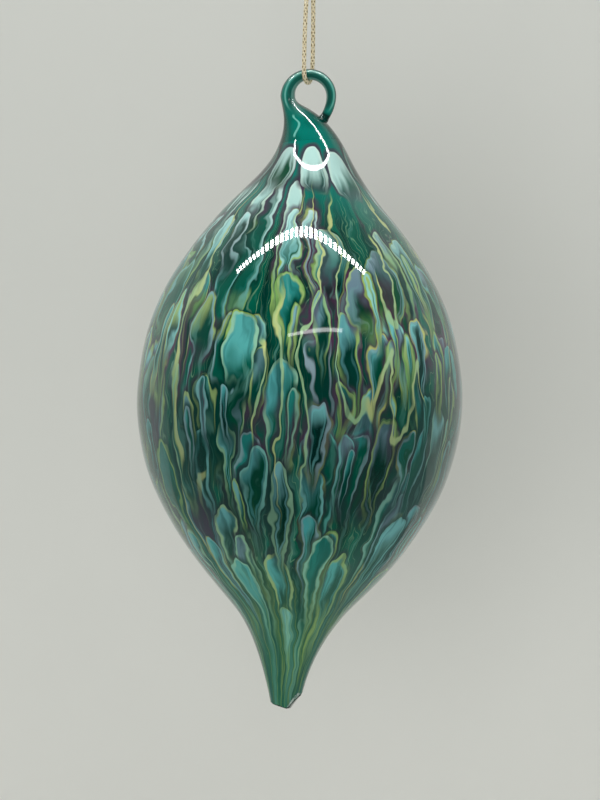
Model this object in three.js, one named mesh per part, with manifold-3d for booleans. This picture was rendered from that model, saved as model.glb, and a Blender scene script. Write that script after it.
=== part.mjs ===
// Glass teardrop ornament: a hollow blown body with a drawn tip, a glass hook fused on its neck,
// and a thin gold cord that is threaded through the hook's eye and knotted above it.
// Millimetres, +Z up, seen from the front along +Y, with +X to the right. The origin is the underside of
// the knot, where the cord is held, and everything hangs below it.
import * as THREE from "three";
import { mergeVertices } from "three/addons/utils/BufferGeometryUtils.js";
import Module from "manifold-3d";

// Blown body
const bellyDiameter = 76;
const shoulderHeight = 57.7; // neck rim down to the widest place
const taperHeight = 50; // widest place down to the root of the drawn tip
const tipLength = 21.7; // root of the tip down to the snapped end
const neckDiameter = 17.7;
const tipRootDiameter = 23.9;
const tipDiameter = 6.2;
const wallThickness = 1.2;
const neckWallThickness = 4.2;
const tipWallThickness = 5; // at the root of the tip
const neckBore = 8; // the hole left where the neck came off the pipe
const neckRimHeight = 2.5; // the bore stays this narrow before it opens into the bubble
const tipSolidLength = 19; // solid glass between the bubble and the snapped end
const tipDrift = 1.4; // how far the tip was drawn off the axis, to the left
const tipDriftLength = 26;
const neckShift = 1.2; // how far the neck sits off the axis, to the right
const neckShiftLength = 13;

// Slopes of the outline from the axis in degrees, and how long it keeps them as a share of each height
const neckFlareAngle = 27.5;
const neckEase = 0.23;
const bellyEaseAbove = 0.56;
const bellyEaseBelow = 0.53;
const tipRootAngle = 36;
const tipRootEase = 0.15;
const tipFlareAngle = 12.4;
const tipEase = 0.41;

// Snapped end of the tip
const snapAngle = 15.5;
const chipAngle = 55;
const snapCorner = 1.3; // the lowest point, right of the tip's centre

// Hook
const hookHeight = 17.5; // neck seat up to the inside top of the eye
const eyeDiameter = 7.6;
const eyeShift = 0.35; // eye's centre right of the body's axis
const rodRootDiameter = 3.5; // where the rod leaves the shoulder
const rodDiameter = 2.56; // over the top of the eye, where the cord bears
const rodEndDiameter = 2.1;
const outerKeep = 8.7; // how long the hook's outer edge keeps the neck's slope
const innerKeep = 14.8; // how long its inner edge, under the eye, keeps it
const outerDrop = 2.4; // how far the rod's outer side goes straight down from the side of the eye
const innerDrop = 3.4;
const beadDiameter = 2.5; // melted bead that joins the rod's end to the shoulder
const beadPlace = 0.33; // where the rod's end lies on the inner edge, 0 at the seat and 1 at the root
const plugDepth = 1.6; // glass that sagged into the neck's bore

// Clearances
const seatGap = 0.3;
const plugGap = 0.4;
const rodEndGap = 0.1;

// Cord and knot
const cordDrop = 24; // knot's underside down to the inside top of the eye
const cordDiameter = 1.05;
const knotHeight = 4.6;
const knotDiameter = 3.8;
const wrapTilt = 32; // the turn that lies round the knot, from level
const tailLength = 8;
const tailSpread = 2.2;
const tailRoot = 0.6; // half the space between the tails inside the knot

// Cord's centreline, down in front of the eye's rod, under it and up behind
const cordRoute = [
  [-0.55, -0.25, -0.3],
  [-0.72, -0.42, -2.2],
  [-0.98, -0.72, -5],
  [-1.12, -1.1, -9],
  [-1.17, -1.5, -13.5],
  [-1.16, -1.88, -18],
  [-1.12, -2.12, -21],
  [-1.05, -2.2, -22.7],
  [-0.92, -2.05, -23.62],
  [-0.72, -1.6, -24.4],
  [-0.46, -0.87, -24.9],
  [-0.15, 0, -25.02],
  [0.14, 0.87, -24.88],
  [0.4, 1.6, -24.35],
  [0.61, 2.05, -23.58],
  [0.75, 2.2, -22.7],
  [0.83, 2.12, -21],
  [0.84, 1.88, -18],
  [0.78, 1.5, -13.5],
  [0.7, 1.1, -9],
  [0.58, 0.72, -5],
  [0.52, 0.42, -2.2],
  [0.5, 0.25, -0.3],
];

// Facets
const bodySegments = 52;
const outlineSteps = 17; // on each half of the outer outline
const tipSteps = 9;
const bubbleSteps = 10; // on each half of the bubble
const hookSegments = 24;
const leanSteps = 13;
const eyeSteps = 18;
const legSteps = 7;
const cordSides = 8;
const cordSteps = 72;
const tailSteps = 6;

const wasm = await Module();
wasm.setup();

// Levels that follow from the sizes
const eyeTop = -cordDrop;
const eyeCentre = eyeTop - eyeDiameter / 2;
const hookSeat = eyeTop - hookHeight;
const neckRim = hookSeat - seatGap;
const bellyLevel = neckRim - shoulderHeight;
const tipRoot = bellyLevel - taperHeight;
const tipLevel = tipRoot - tipLength;
const eyePath = (eyeDiameter + rodDiameter) / 2;

const radians = THREE.MathUtils.degToRad;

// A closed geometry as a solid that can be joined or cut.
function solid(geometry) {
  const bare = geometry.clone();
  bare.deleteAttribute("normal");
  bare.deleteAttribute("uv");
  const merged = mergeVertices(bare, 1e-4);
  const vertProperties = merged.attributes.position.array;
  const triVerts = new Uint32Array(merged.index.array);
  return new wasm.Manifold(new wasm.Mesh({ numProp: 3, vertProperties, triVerts }));
}

// The surface of a solid as a geometry with flat faces.
function surface(made) {
  const { vertProperties, triVerts } = made.getMesh();
  const geometry = new THREE.BufferGeometry();
  geometry.setAttribute("position", new THREE.BufferAttribute(vertProperties, 3));
  geometry.setIndex(new THREE.BufferAttribute(triVerts, 1));
  geometry.computeVertexNormals();
  return geometry;
}

function mesh(name, geometry, look) {
  const made = new THREE.Mesh(geometry, new THREE.MeshStandardMaterial(look));
  made.name = name;
  return made;
}

// How far the glass lies off the axis at a level: the neck to the right and the drawn tip to the left.
function axisShift(z) {
  const atNeck = THREE.MathUtils.smoothstep(z, neckRim - neckShiftLength, neckRim);
  const driftEnd = tipLevel + tipDiameter;
  const atTip = 1 - THREE.MathUtils.smoothstep(z, driftEnd, driftEnd + tipDriftLength);
  return neckShift * atNeck - tipDrift * atTip;
}

// A stretch of the outline as (radius, level) between two places, each with its slope from the axis and
// the distance that it keeps it.
function outline(top, topAngle, topReach, bottom, bottomAngle, bottomReach) {
  const leave = radians(topAngle);
  const arrive = radians(bottomAngle);
  const after = new THREE.Vector2(Math.sin(leave), -Math.cos(leave)).multiplyScalar(topReach);
  const before = new THREE.Vector2(Math.sin(arrive), -Math.cos(arrive)).multiplyScalar(-bottomReach);
  return new THREE.CubicBezierCurve(top, top.clone().add(after), bottom.clone().add(before), bottom);
}

// The outer outline in three stretches: the shoulder, the taper and the drawn tip.
function outlines() {
  const neck = new THREE.Vector2(neckDiameter / 2, neckRim);
  const belly = new THREE.Vector2(bellyDiameter / 2, bellyLevel);
  const root = new THREE.Vector2(tipRootDiameter / 2, tipRoot);
  const end = new THREE.Vector2(tipDiameter / 2, tipLevel);
  const above = bellyEaseAbove * shoulderHeight;
  const below = bellyEaseBelow * taperHeight;
  return {
    shoulder: outline(neck, neckFlareAngle, neckEase * shoulderHeight, belly, 0, above),
    taper: outline(belly, 0, below, root, -tipRootAngle, tipRootEase * taperHeight),
    tip: outline(root, -tipRootAngle, tipEase * tipLength, end, -tipFlareAngle, tipEase * tipLength),
  };
}

// A point of the bubble's wall: a point of the outline moved straight into the glass by its thickness.
function inside(curve, t, thickness) {
  const way = curve.getTangent(t);
  return curve.getPoint(t).add(new THREE.Vector2(way.y, -way.x).multiplyScalar(thickness));
}

// The bubble's outline from the neck's rim down to its round bottom. The wall thickens at both ends.
function bubble({ shoulder, taper }) {
  const bore = neckBore / 2;
  const points = [new THREE.Vector2(bore, neckRim), new THREE.Vector2(bore, neckRim - neckRimHeight)];
  for (let i = 1; i <= bubbleSteps; i++) {
    const t = i / bubbleSteps;
    points.push(inside(shoulder, t, wallThickness + (neckWallThickness - wallThickness) * (1 - t) ** 4));
  }
  for (let i = 1; i <= bubbleSteps; i++) {
    const t = i / bubbleSteps;
    points.push(inside(taper, t, wallThickness + (tipWallThickness - wallThickness) * t ** 4));
  }
  const low = points.at(-1);
  const bottom = tipLevel + tipSolidLength;
  const turn = new THREE.Vector2(low.x - Math.tan(radians(tipRootAngle)) * (low.y - bottom), bottom);
  const round = new THREE.QuadraticBezierCurve(low, turn, new THREE.Vector2(0, bottom));
  points.push(...round.getPoints(bubbleSteps / 2).slice(1));
  return points;
}

// A half-space as a large block whose top face tilts about Y and passes through the tip's lowest point.
function cutBelow(angle) {
  const size = 4 * tipDiameter;
  const block = new THREE.BoxGeometry(size, size, size);
  block.translate(0, 0, -size / 2);
  block.rotateY(radians(angle));
  block.translate(snapCorner - tipDrift, 0, tipLevel);
  return solid(block);
}

// The blown bubble: one outline turned about the axis, bent where the glass was drawn, and snapped.
function blownBody() {
  const curves = outlines();
  const profile = [
    ...bubble(curves).reverse(),
    ...curves.shoulder.getPoints(outlineSteps),
    ...curves.taper.getPoints(outlineSteps).slice(1),
    ...curves.tip.getPoints(tipSteps).slice(1),
    new THREE.Vector2(0, tipLevel),
  ];
  const turned = new THREE.LatheGeometry(profile.reverse(), bodySegments);
  turned.rotateX(Math.PI / 2);
  const place = turned.attributes.position;
  for (let i = 0; i < place.count; i++) {
    place.setX(i, place.getX(i) + axisShift(place.getZ(i)));
  }
  const snapped = solid(turned).subtract(cutBelow(snapAngle)).subtract(cutBelow(-chipAngle));
  const look = { color: 0x2f7d68, roughness: 0.06, metalness: 0 };
  return mesh("blown_body", surface(snapped), look);
}

// An edge of the leaning glass in the front view, outer at side -1 and inner at side 1. It leaves the seat
// with the neck's slope and comes to the root of the rod upright.
function leanEdge(side, keep, drop) {
  const flare = radians(neckFlareAngle);
  const seat = new THREE.Vector2(neckShift + (side * neckDiameter) / 2, hookSeat);
  const root = new THREE.Vector2(eyeShift - eyePath + (side * rodRootDiameter) / 2, eyeCentre);
  const slope = new THREE.Vector2(-side * Math.sin(flare), Math.cos(flare));
  const below = new THREE.Vector2(root.x, root.y - drop);
  return new THREE.CubicBezierCurve(seat, seat.clone().add(slope.multiplyScalar(keep)), below, root);
}

// The last stretch of the rod, from the side of the eye down to just above the leaning glass. Each point
// holds x, z and the radius there.
function legCurve(inner) {
  const at = inner.getPoint(beadPlace);
  const way = inner.getTangent(beadPlace);
  const side = new THREE.Vector3(eyeShift + eyePath, eyeCentre, legStart());
  const end = new THREE.Vector3(at.x + way.y * rodEndGap, at.y - way.x * rodEndGap, rodEndDiameter / 2);
  const middle = new THREE.Vector3(side.x, (side.y + end.y) / 2, (side.z + end.z) / 2);
  return new THREE.QuadraticBezierCurve3(side, middle, end);
}

// Radius of the rod where it leaves the arc of the eye, between its top and its end.
function legStart() {
  return (rodDiameter + rodEndDiameter) / 4;
}

// One cross-section of the hook: its centre, its radius and the unit vector across it in the XZ plane.
function section(x, z, radius, alongX, alongZ) {
  const across = new THREE.Vector2(alongZ, -alongX).normalize();
  return { x, z, radius, across };
}

// The leaning glass, each cross-section between the same places of its two edges.
function leanSections(outer, inner) {
  const made = [];
  for (let i = 0; i <= leanSteps; i++) {
    const across = inner.getPoint(i / leanSteps).sub(outer.getPoint(i / leanSteps));
    const middle = outer.getPoint(i / leanSteps).addScaledVector(across, 0.5);
    made.push(section(middle.x, middle.y, across.length() / 2, -across.y, across.x));
  }
  return made;
}

function legSections(leg) {
  const made = [];
  for (let i = 0; i <= legSteps; i++) {
    const at = leg.getPoint(i / legSteps);
    const way = leg.getTangent(i / legSteps);
    made.push(section(at.x, at.y, at.z, way.x, way.y));
  }
  return made;
}

// The arc of the eye, from its left side over the top to its right side.
function arcSections() {
  const made = [];
  for (let i = 1; i < eyeSteps; i++) {
    const turn = (i / eyeSteps - 0.5) * Math.PI;
    const before = Math.max(0, 1 - (2 * i) / eyeSteps);
    const after = Math.max(0, (2 * i) / eyeSteps - 1);
    const radius =
      rodDiameter / 2 +
      ((rodRootDiameter - rodDiameter) / 2) * before ** 1.5 +
      (legStart() - rodDiameter / 2) * after;
    const x = eyeShift + eyePath * Math.sin(turn);
    const z = eyeCentre + eyePath * Math.cos(turn);
    made.push(section(x, z, radius, Math.cos(turn), -Math.sin(turn)));
  }
  return made;
}

// A closed skin over round cross-sections, flat at both ends.
function loft(sections, sides) {
  const points = [];
  const faces = [];
  for (const { x, z, radius, across } of sections) {
    for (let j = 0; j < sides; j++) {
      const turn = (2 * Math.PI * j) / sides;
      const reach = radius * Math.cos(turn);
      points.push(x + across.x * reach, radius * Math.sin(turn), z + across.y * reach);
    }
  }
  for (let i = 0; i + 1 < sections.length; i++) {
    for (let j = 0; j < sides; j++) {
      const a = i * sides + j;
      const b = i * sides + ((j + 1) % sides);
      faces.push(a, b, b + sides, a, b + sides, a + sides);
    }
  }
  const last = (sections.length - 1) * sides;
  for (let j = 1; j + 1 < sides; j++) {
    faces.push(0, j + 1, j, last, last + j, last + j + 1);
  }
  const geometry = new THREE.BufferGeometry();
  geometry.setAttribute("position", new THREE.Float32BufferAttribute(points, 3));
  geometry.setIndex(faces);
  return geometry;
}

// The hook: a plug in the bore, a cone that leans over, the rod round the eye and the melted bead.
function hook() {
  const outer = leanEdge(-1, outerKeep, outerDrop);
  const inner = leanEdge(1, innerKeep, innerDrop);
  const leg = legCurve(inner);
  const plug = neckBore / 2 - plugGap;
  const sections = [
    section(neckShift, hookSeat - seatGap - plugDepth, plug - plugGap, 0, 1),
    section(neckShift, hookSeat, plug, 0, 1),
    ...leanSections(outer, inner),
    ...arcSections(),
    ...legSections(leg),
  ];
  const end = leg.getPoint(1);
  const bead = new THREE.SphereGeometry(beadDiameter / 2, 16, 10);
  bead.translate(end.x, 0, end.y);
  const look = { color: 0x0c7a6c, roughness: 0.05, metalness: 0 };
  return mesh("hook", surface(solid(loft(sections, hookSegments)).add(solid(bead))), look);
}

// A round cord swept along a curve.
function cordTube(curve, steps) {
  const outline = new THREE.Shape().absarc(0, 0, cordDiameter / 2, 0, 2 * Math.PI);
  return new THREE.ExtrudeGeometry(outline, {
    steps,
    curveSegments: cordSides / 2, // a full circle gets twice as many sides
    bevelEnabled: false,
    extrudePath: curve,
  });
}

const gold = { color: 0xc8b878, roughness: 0.4, metalness: 0.7 };

function cord() {
  const route = new THREE.CatmullRomCurve3(cordRoute.map((p) => new THREE.Vector3(...p)));
  return mesh("cord", cordTube(route, cordSteps), gold);
}

// The knot: a drawn-tight core, the turn that lies round it, and the two short tails above it.
function cordKnot() {
  const half = knotHeight / 2;
  const core = new THREE.SphereGeometry(half, 20, 12);
  const coreDiameter = knotDiameter - cordDiameter;
  core.scale(coreDiameter / knotHeight, coreDiameter / knotHeight, 1);
  const turn = new THREE.TorusGeometry(coreDiameter / 2, cordDiameter / 2, 10, 24);
  turn.rotateY(radians(wrapTilt));
  let made = solid(core).add(solid(turn));
  for (const side of [-1, 1]) {
    const tail = new THREE.QuadraticBezierCurve3(
      new THREE.Vector3(side * tailRoot, 0, 0),
      new THREE.Vector3(side * tailRoot, 0, half + tailLength / 2),
      new THREE.Vector3(side * tailSpread, (-side * tailSpread) / 2, half + tailLength),
    );
    made = made.add(solid(cordTube(tail, tailSteps)));
  }
  const placed = surface(made);
  placed.translate(0, 0, half);
  return mesh("cord_knot", placed, gold);
}

const ornament = new THREE.Group();
ornament.add(blownBody(), hook(), cord(), cordKnot());
export default ornament;
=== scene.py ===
# Glass teardrop ornament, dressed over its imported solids: blown marbled glass, a curled clear glass hook
# and a thin braided cord. Metres, +Z up, front towards -Y. The origin is the underside of the knot.
import math
import random
from contextlib import contextmanager

import bmesh
import bpy
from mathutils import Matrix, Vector


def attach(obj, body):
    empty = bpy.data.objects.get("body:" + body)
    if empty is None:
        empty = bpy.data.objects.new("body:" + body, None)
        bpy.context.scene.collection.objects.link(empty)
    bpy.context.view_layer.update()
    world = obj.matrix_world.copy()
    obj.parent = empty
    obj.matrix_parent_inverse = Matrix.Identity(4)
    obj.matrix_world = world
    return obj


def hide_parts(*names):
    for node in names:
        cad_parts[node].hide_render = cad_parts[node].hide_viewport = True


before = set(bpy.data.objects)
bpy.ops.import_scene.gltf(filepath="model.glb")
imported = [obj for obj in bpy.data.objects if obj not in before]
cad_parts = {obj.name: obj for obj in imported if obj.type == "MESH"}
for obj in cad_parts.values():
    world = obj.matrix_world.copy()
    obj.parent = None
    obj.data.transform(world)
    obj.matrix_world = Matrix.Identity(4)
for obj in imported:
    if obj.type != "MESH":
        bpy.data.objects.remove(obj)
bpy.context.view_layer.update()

bl_info = {
    "name": "Glass teardrop ornament",
    "version": (1, 0, 0),
    "blender": (4, 5, 0),
    "location": "View3D > Sidebar > Ornament",
    "description": "Builds a blown glass ornament with its hook and hanging cord",
    "category": "Add Mesh",
}

MM = 0.001
TAU = 2 * math.pi


def millimetres(name, words, value):
    """A length that the user can change, given here in millimetres."""
    return bpy.props.FloatProperty(
        name=name, description=words, default=value * MM, unit="LENGTH", precision=5
    )


def degrees(name, words, value):
    return bpy.props.FloatProperty(
        name=name, description=words, default=math.radians(value), subtype="ANGLE"
    )


def share(name, words, value):
    return bpy.props.FloatProperty(
        name=name, description=words, default=value, min=0, max=1, subtype="FACTOR"
    )


def glass_colour(name, words, value):
    """A colour that the user can change, given here as display values from 0 to 255."""
    return bpy.props.FloatVectorProperty(
        name=name, description=words, default=linear(value)[:3], min=0, max=1, size=3, subtype="COLOR"
    )


def linear(display):
    """Display values from 0 to 255 as the linear colour that a shader takes."""
    made = []
    for value in display:
        c = value / 255
        made.append(c / 12.92 if c <= 0.04045 else ((c + 0.055) / 1.055) ** 2.4)
    return (*made, 1.0)


class BodySizes(bpy.types.PropertyGroup):
    """Sizes of the blown body."""

    belly_diameter: millimetres("Belly", "Diameter at the widest place", 76)
    shoulder_height: millimetres("Shoulder", "Neck rim down to the widest place", 57.7)
    taper_height: millimetres("Taper", "Widest place down to the root of the drawn tip", 50)
    tip_length: millimetres("Tip", "Root of the tip down to the snapped end", 21.7)
    neck_diameter: millimetres("Neck", "Diameter at the neck rim", 17.7)
    neck_bore: millimetres("Bore", "Hole in the neck", 8)
    tip_root_diameter: millimetres("Tip root", "Diameter where the drawn tip starts", 23.9)
    tip_diameter: millimetres("Tip end", "Diameter at the snapped end", 6.2)
    tip_solid: millimetres("Solid tip", "Solid glass below the bubble", 19)
    tip_drift: millimetres("Tip drift", "How far the tip was drawn to the left", 1.4)
    tip_drift_length: millimetres("Tip drift length", "Height over which the tip drifts", 26)
    neck_shift: millimetres("Neck shift", "How far the neck sits to the right", 1.2)
    neck_shift_length: millimetres("Neck shift length", "Height over which the neck shifts", 13)
    wall: millimetres("Wall", "Thickness of the bubble at the belly", 1.2)
    neck_wall: millimetres("Neck wall", "Thickness of the glass at the neck", 4.2)
    tip_wall: millimetres("Tip wall", "Thickness of the glass at the tip's root", 5)
    neck_flare: degrees("Neck flare", "Slope of the outline at the neck", 27.5)
    root_flare: degrees("Root flare", "Slope of the outline at the tip's root", 36)
    tip_flare: degrees("Tip flare", "Slope of the outline at the snapped end", 12.4)
    neck_ease: share("Neck ease", "How long the neck's slope holds", 0.23)
    belly_ease_above: share("Belly ease above", "How long the belly stays upright above", 0.56)
    belly_ease_below: share("Belly ease below", "How long the belly stays upright below", 0.53)
    root_ease: share("Root ease", "How long the taper keeps the root's slope", 0.15)
    tip_ease: share("Tip ease", "How long the tip keeps its slopes", 0.41)
    snap_slant: degrees("Snap slant", "Slant of the snapped end", 15.5)
    chip_slant: degrees("Chip slant", "Slant of the chip at its edge", 55)
    snap_corner: millimetres("Snap corner", "Lowest point, right of the tip's centre", 1.3)
    unevenness: millimetres("Unevenness", "How far the hand-blown surface wanders", 0.1)


class HookSizes(bpy.types.PropertyGroup):
    """Sizes of the glass hook."""

    height: millimetres("Height", "Neck rim up to the inside top of the eye", 17.8)
    eye_diameter: millimetres("Eye", "Inside diameter of the eye", 7.6)
    eye_shift: millimetres("Eye shift", "Centre of the eye right of the axis", 0.35)
    rod_root: millimetres("Rod root", "Rod diameter where it leaves the shoulder", 3.5)
    rod: millimetres("Rod", "Rod diameter over the top of the eye", 2.56)
    rod_end: millimetres("Rod end", "Rod diameter at its end", 2.1)
    outer_keep: millimetres("Outer keep", "How long the outer edge keeps the neck's slope", 8.7)
    inner_keep: millimetres("Inner keep", "How long the inner edge keeps the neck's slope", 14.8)
    outer_drop: millimetres("Outer drop", "How far the rod's outer side goes straight down", 2.4)
    inner_drop: millimetres("Inner drop", "How far the rod's inner side goes straight down", 3.4)
    bead: millimetres("Bead", "Melted bead that joins the rod's end to the shoulder", 2.5)
    bead_place: share("Bead place", "Where the rod's end lies on the inner edge", 0.33)
    foot: share("Foot", "How far up the leaning glass the marbled skin reaches", 0.12)
    plug_depth: millimetres("Plug", "Glass that sagged into the bore", 1.6)
    plug_gap: millimetres("Plug gap", "Space between the plug and the bore", 0.4)


class CordSizes(bpy.types.PropertyGroup):
    """Sizes of the hanging cord and its knot."""

    drop: millimetres("Drop", "Underside of the knot down to the inside top of the eye", 24)
    diameter: millimetres("Diameter", "Thickness of the cord", 1.05)
    braid_pitch: millimetres("Braid pitch", "Length of one turn of a braided thread", 2.9)
    knot_height: millimetres("Knot height", "Height of the knot", 4.6)
    knot_reach: millimetres("Knot reach", "How far the turns lie from the knot's middle", 1.4)
    tail: millimetres("Tail", "Length of the two short tails", 8)


class GlassColours(bpy.types.PropertyGroup):
    """Colours of the glass and the cord."""

    teal: glass_colour("Teal", "Clear teal glass of the hook", (2, 132, 116))
    cloud: glass_colour("Cloud", "Lighter clouds in the glass of the hook", (12, 150, 134))
    foot: glass_colour("Foot", "Clear teal skin round the neck", (4, 126, 111))
    seam: glass_colour("Seam", "Dark contours and painted shadow round the chips", (0, 46, 36))
    plum: glass_colour("Plum", "Contours and painted shadow in the plum patches", (78, 42, 74))
    neck: glass_colour("Neck", "Pale round tops of the chips below the neck", (206, 246, 238))
    cord_gold: glass_colour("Cord gold", "Metallic thread of the cord", (244, 228, 188))
    cord_painted_groove_shade: glass_colour("Cord painted groove shade", "Painted shade in the grooves of the braid", (116, 96, 56))


class StageLooks(bpy.types.PropertyGroup):
    """Camera, lamps, wall and floor."""

    distance: bpy.props.FloatProperty(
        name="Camera distance", description="Camera in front of the ornament", default=0.9, unit="LENGTH"
    )
    pixels_per_metre: bpy.props.FloatProperty(
        name="Scale", description="Picture points for each metre of the ornament", default=4276
    )
    roll: degrees("Camera roll", "How far the camera leans", 1.6)
    wall_distance: bpy.props.FloatProperty(
        name="Wall distance", description="Pale wall behind the ornament", default=0.17, unit="LENGTH"
    )
    wall_colour: glass_colour("Wall colour", "Plain pale wall and floor", (211, 212, 207))
    low_wall_painted_light: glass_colour("Low wall painted light", "Wall below the ornament, paler with painted light", (228, 228, 223))


SIZE_GROUPS = {
    "ornament_body": BodySizes,
    "ornament_hook": HookSizes,
    "ornament_cord": CordSizes,
    "ornament_colours": GlassColours,
    "ornament_stage": StageLooks,
}


def settings(name):
    return getattr(bpy.context.scene, "ornament_" + name)


# Levels and curves of the glass


def levels():
    """The heights that everything follows, from the knot down."""
    body, hook, cord = settings("body"), settings("hook"), settings("cord")
    eye_top = -cord.drop
    rim = eye_top - hook.height
    belly = rim - body.shoulder_height
    root = belly - body.taper_height
    return {
        "eye_top": eye_top,
        "eye_centre": eye_top - hook.eye_diameter / 2,
        "rim": rim,
        "belly": belly,
        "root": root,
        "tip": root - body.tip_length,
    }


def cubic(a, b, c, d, steps):
    """Points of a curve from a to d that leaves towards b and comes in from c."""
    made = []
    for i in range(steps + 1):
        t = i / steps
        s = 1 - t
        made.append(a * s**3 + b * (3 * t * s * s) + c * (3 * t * t * s) + d * t**3)
    return made


def stretch(top, top_slope, top_reach, bottom, bottom_slope, bottom_reach, steps):
    """A stretch of the outline as (radius, level), with its slope from the axis at both ends."""
    leave = Vector((math.sin(top_slope), -math.cos(top_slope))) * top_reach
    arrive = Vector((math.sin(bottom_slope), -math.cos(bottom_slope))) * bottom_reach
    return cubic(top, top + leave, bottom - arrive, bottom, steps)


def outlines(fine):
    """The outer outline as (radius, level) in three stretches: shoulder, taper and drawn tip."""
    body, at = settings("body"), levels()
    neck = Vector((body.neck_diameter / 2, at["rim"]))
    belly = Vector((body.belly_diameter / 2, at["belly"]))
    root = Vector((body.tip_root_diameter / 2, at["root"]))
    end = Vector((body.tip_diameter / 2, at["tip"]))
    shoulder, taper = body.shoulder_height, body.taper_height
    neck_hold, above = body.neck_ease * shoulder, body.belly_ease_above * shoulder
    below, root_hold = body.belly_ease_below * taper, body.root_ease * taper
    tip_hold = body.tip_ease * body.tip_length
    return (
        stretch(neck, body.neck_flare, neck_hold, belly, 0, above, 3 * fine),
        stretch(belly, 0, below, root, -body.root_flare, root_hold, 3 * fine),
        stretch(root, -body.root_flare, tip_hold, end, -body.tip_flare, tip_hold, 2 * fine),
    )


def smoothstep(value, low, high):
    t = min(max((value - low) / (high - low), 0), 1)
    return t * t * (3 - 2 * t)


def axis_shift(z):
    """How far the glass lies off the axis: the neck to the right and the drawn tip to the left."""
    body, at = settings("body"), levels()
    neck = smoothstep(z, at["rim"] - body.neck_shift_length, at["rim"])
    drift_end = at["tip"] + body.tip_diameter
    tip = 1 - smoothstep(z, drift_end, drift_end + body.tip_drift_length)
    return body.neck_shift * neck - body.tip_drift * tip


LEAN_STEPS = 100


def eye_path(hook):
    """Radius of the middle of the rod round the eye."""
    return (hook.eye_diameter + hook.rod) / 2


def lean_edge(side):
    """An edge of the leaning glass of the hook as (x, z): outer at side -1 and inner at side 1."""
    body, hook, at = settings("body"), settings("hook"), levels()
    keep, drop = (hook.outer_keep, hook.outer_drop) if side < 0 else (hook.inner_keep, hook.inner_drop)
    seat = Vector((body.neck_shift + side * body.neck_diameter / 2, at["rim"]))
    root = Vector((hook.eye_shift - eye_path(hook) + side * hook.rod_root / 2, at["eye_centre"]))
    slope = Vector((-side * math.sin(body.neck_flare), math.cos(body.neck_flare)))
    return cubic(seat, seat + slope * keep, root - Vector((0, drop)), root, LEAN_STEPS)


def circle(x, z, radius, along, sides):
    """A ring of points round (x, z) in the XZ plane, square to the direction along."""
    across = Vector((along[1], -along[0])).normalized()
    made = []
    for j in range(sides):
        turn = TAU * j / sides
        reach = radius * math.cos(turn)
        made.append((x + across.x * reach, radius * math.sin(turn), z + across.y * reach))
    return made


def lean_rings(first, last, sides):
    """Rings of the leaning glass between two shares of its edges."""
    outer, inner = lean_edge(-1), lean_edge(1)
    made = []
    for i in range(round(first * LEAN_STEPS), round(last * LEAN_STEPS) + 1):
        across = inner[i] - outer[i]
        middle = (inner[i] + outer[i]) / 2
        made.append(circle(middle.x, middle.y, across.length / 2, (-across.y, across.x), sides))
    return made


def narrowed(ring, radius):
    """The same ring drawn in to a radius about its own centre."""
    centre = sum((Vector(p) for p in ring), Vector()) / len(ring)
    scale = radius / (Vector(ring[0]) - centre).length
    return [tuple(centre + (Vector(p) - centre) * scale) for p in ring]


def placed(name, points, faces):
    """A new mesh object in the scene."""
    mesh = bpy.data.meshes.new(name)
    mesh.from_pydata(points, [], faces)
    made = bpy.data.objects.new(name, mesh)
    bpy.context.collection.objects.link(made)
    return made


def tube_faces(rings, sides):
    """The faces between so many rings of points."""
    faces = []
    for first in range(0, (rings - 1) * sides, sides):
        for j in range(sides):
            a, b = first + j, first + (j + 1) % sides
            faces.append((a, b, b + sides, a + sides))
    return faces


def skin(name, rings, first_pole=None, last_pole=None):
    """A closed mesh object over rings of points, with a pole or a flat cap at each end."""
    sides = len(rings[0])
    points = [p for ring in rings for p in ring]
    faces = tube_faces(len(rings), sides)
    last = (len(rings) - 1) * sides
    for pole, start, turn in ((first_pole, 0, -1), (last_pole, last, 1)):
        ring = [start + j for j in range(sides)]
        if pole is None:
            faces.append(tuple(ring[::turn]))
            continue
        points.append(pole)
        for j in range(sides):
            a, b = ring[j], ring[(j + 1) % sides]
            faces.append((a, b, len(points) - 1)[::turn])
    made = placed(name, points, faces)
    face_outwards(made)
    return made


@contextmanager
def opened(piece):
    """The mesh of a piece, open for changes that are kept at the end."""
    shape = bmesh.new()
    shape.from_mesh(piece.data)
    yield shape
    shape.to_mesh(piece.data)
    shape.free()


def face_outwards(piece):
    """Turns every face of a closed mesh to look outwards."""
    with opened(piece) as shape:
        bmesh.ops.recalc_face_normals(shape, faces=shape.faces)


def shade(piece, sharp_degrees):
    """Smooth shading with the edges steeper than an angle kept crisp."""
    sharp = math.radians(sharp_degrees)
    with opened(piece) as shape:
        for face in shape.faces:
            face.smooth = True
        for edge in shape.edges:
            edge.smooth = len(edge.link_faces) == 2 and edge.calc_face_angle(0) < sharp


# Materials

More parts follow.
